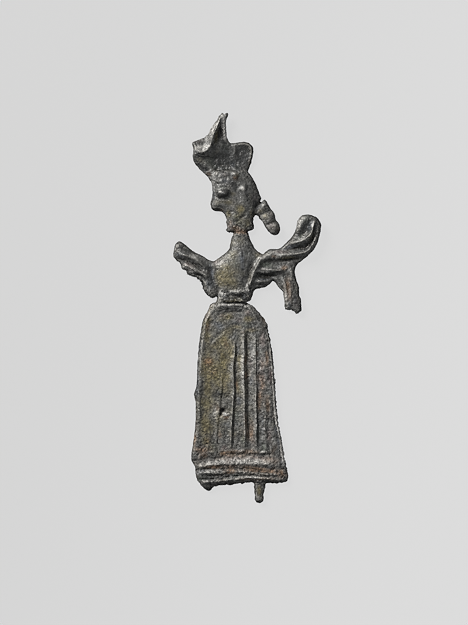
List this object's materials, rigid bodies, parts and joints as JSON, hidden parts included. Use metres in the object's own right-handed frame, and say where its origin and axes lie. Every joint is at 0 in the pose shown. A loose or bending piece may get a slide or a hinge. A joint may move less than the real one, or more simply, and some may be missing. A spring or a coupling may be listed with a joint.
{
  "type": "votive figurine",
  "caption": "Flat cast lead votive figurine of a winged figure in a tall headdress and a long pleated skirt, lying on its back, its face in profile.",
  "frame": {"origin": "centre of the casting's box, on its flat back", "axes": "+Z out of the front of the relief, +Y towards the top of the headdress, +X towards the raised wing"},
  "size_m": [0.037, 0.0974, 0.0036],
  "materials": {
    "lead": "dull dark grey lead with an olive and brown patina and paler worn ridges"
  },
  "bodies": {
    "root": {"figurine": "lead"}
  },
  "joints": []
}
